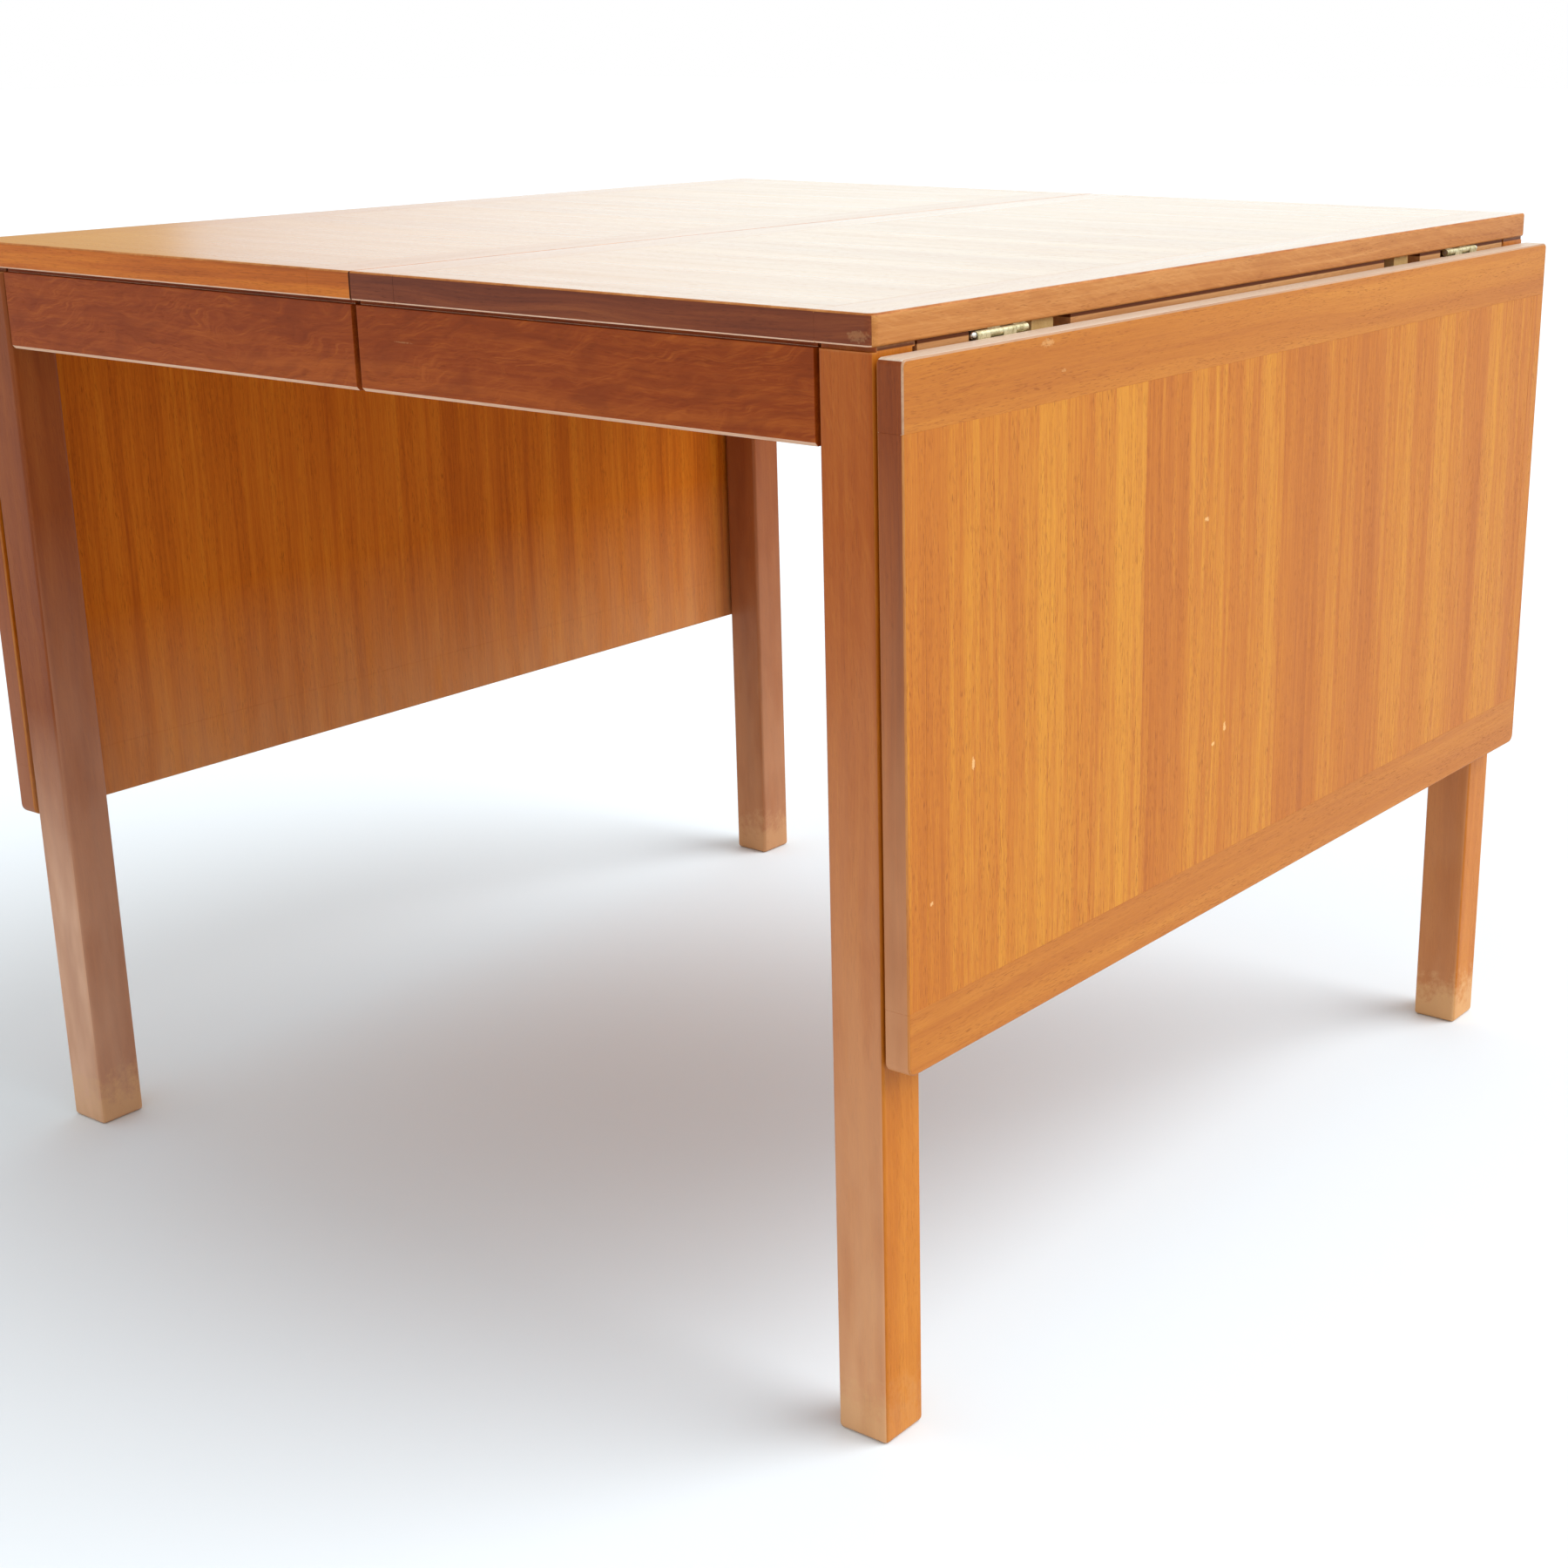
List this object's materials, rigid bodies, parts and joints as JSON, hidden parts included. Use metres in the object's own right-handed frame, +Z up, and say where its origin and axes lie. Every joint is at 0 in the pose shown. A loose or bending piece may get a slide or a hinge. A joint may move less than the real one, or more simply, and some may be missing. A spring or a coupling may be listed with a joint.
{
  "type": "drop leaf table",
  "caption": "Rectangular teak table on square legs, with a hinged leaf hanging at each end and a top and aprons split across the middle to draw apart.",
  "frame": {"origin": "centre of the closed table's footprint, on the floor", "axes": "+X towards the right leaf, -Y the front, +Z up"},
  "size_m": [0.9104, 0.9, 0.725],
  "materials": {
    "top_veneer": "semi-gloss oiled teak veneer",
    "leaf_veneer": "semi-gloss oiled teak veneer, strips side by side",
    "teak_edge": "semi-gloss solid teak",
    "teak_leg": "semi-gloss solid teak",
    "teak_apron": "semi-gloss figured teak, reddish brown",
    "beech": "plain waxed beech",
    "hinge_metal": "pale brass, lightly tarnished",
    "pin_metal": "bright nickel",
    "screw_metal": "plated steel"
  },
  "bodies": {
    "right_half": {"right_top_panel": "top_veneer", "right_top_end_band": "teak_edge", "right_top_seam_band": "teak_edge", "right_top_front_strip": "teak_edge", "right_top_back_strip": "teak_edge", "right_front_leg": "teak_leg", "right_back_leg": "teak_leg", "right_front_apron": "teak_apron", "right_back_apron": "teak_apron", "right_end_rail": "teak_leg", "right_loper_guides": "screw_metal", "right_front_hinge_top_plate": "hinge_metal", "right_back_hinge_top_plate": "hinge_metal", "right_hinge_pins": "pin_metal", "right_top_hinge_screws": "screw_metal", "right_front_runner": "beech", "right_back_runner": "beech", "right_corner_blocks": "beech", "right_fixing_screws": "screw_metal", "seam_dowels": "beech"},
    "left_half": {"left_top_panel": "top_veneer", "left_top_end_band": "teak_edge", "left_top_seam_band": "teak_edge", "left_top_front_strip": "teak_edge", "left_top_back_strip": "teak_edge", "left_front_leg": "teak_leg", "left_back_leg": "teak_leg", "left_front_apron": "teak_apron", "left_back_apron": "teak_apron", "left_end_rail": "teak_leg", "left_loper_guides": "screw_metal", "left_front_hinge_top_plate": "hinge_metal", "left_back_hinge_top_plate": "hinge_metal", "left_hinge_pins": "pin_metal", "left_top_hinge_screws": "screw_metal", "left_front_runner": "beech", "left_back_runner": "beech", "left_corner_blocks": "beech", "left_fixing_screws": "screw_metal"},
    "right_leaf": {"right_leaf_panel": "leaf_veneer", "right_leaf_hinge_band": "teak_edge", "right_leaf_free_band": "teak_edge", "right_leaf_front_strip": "teak_edge", "right_leaf_back_strip": "teak_edge", "right_front_hinge_leaf_plate": "hinge_metal", "right_back_hinge_leaf_plate": "hinge_metal", "right_leaf_hinge_screws": "screw_metal"},
    "left_leaf": {"left_leaf_panel": "leaf_veneer", "left_leaf_hinge_band": "teak_edge", "left_leaf_free_band": "teak_edge", "left_leaf_front_strip": "teak_edge", "left_leaf_back_strip": "teak_edge", "left_front_hinge_leaf_plate": "hinge_metal", "left_back_hinge_leaf_plate": "hinge_metal", "left_leaf_hinge_screws": "screw_metal"},
    "right_front_loper": {"right_front_loper": "beech"},
    "right_back_loper": {"right_back_loper": "beech"},
    "left_front_loper": {"left_front_loper": "beech"},
    "left_back_loper": {"left_back_loper": "beech"}
  },
  "joints": [
    {"name": "draw_extension", "type": "slide", "parent": "right_half", "child": "left_half", "axis": [-1, 0, 0], "range_m": [0, 0.45]},
    {"name": "right_leaf_hinge", "type": "hinge", "parent": "right_half", "child": "right_leaf", "pos_m": [0.4335, 0, 0.7031], "axis": [0, -1, 0], "range_deg": [0, 90]},
    {"name": "right_front_loper_slide", "type": "slide", "parent": "right_half", "child": "right_front_loper", "axis": [1, 0, 0], "range_m": [0, 0.004]},
    {"name": "right_back_loper_slide", "type": "slide", "parent": "right_half", "child": "right_back_loper", "axis": [1, 0, 0], "range_m": [0, 0.004]},
    {"name": "left_leaf_hinge", "type": "hinge", "parent": "left_half", "child": "left_leaf", "pos_m": [-0.4335, 0, 0.7031], "axis": [0, 1, 0], "range_deg": [0, 90]},
    {"name": "left_front_loper_slide", "type": "slide", "parent": "left_half", "child": "left_front_loper", "axis": [-1, 0, 0], "range_m": [0, 0.004]},
    {"name": "left_back_loper_slide", "type": "slide", "parent": "left_half", "child": "left_back_loper", "axis": [-1, 0, 0], "range_m": [0, 0.004]}
  ]
}
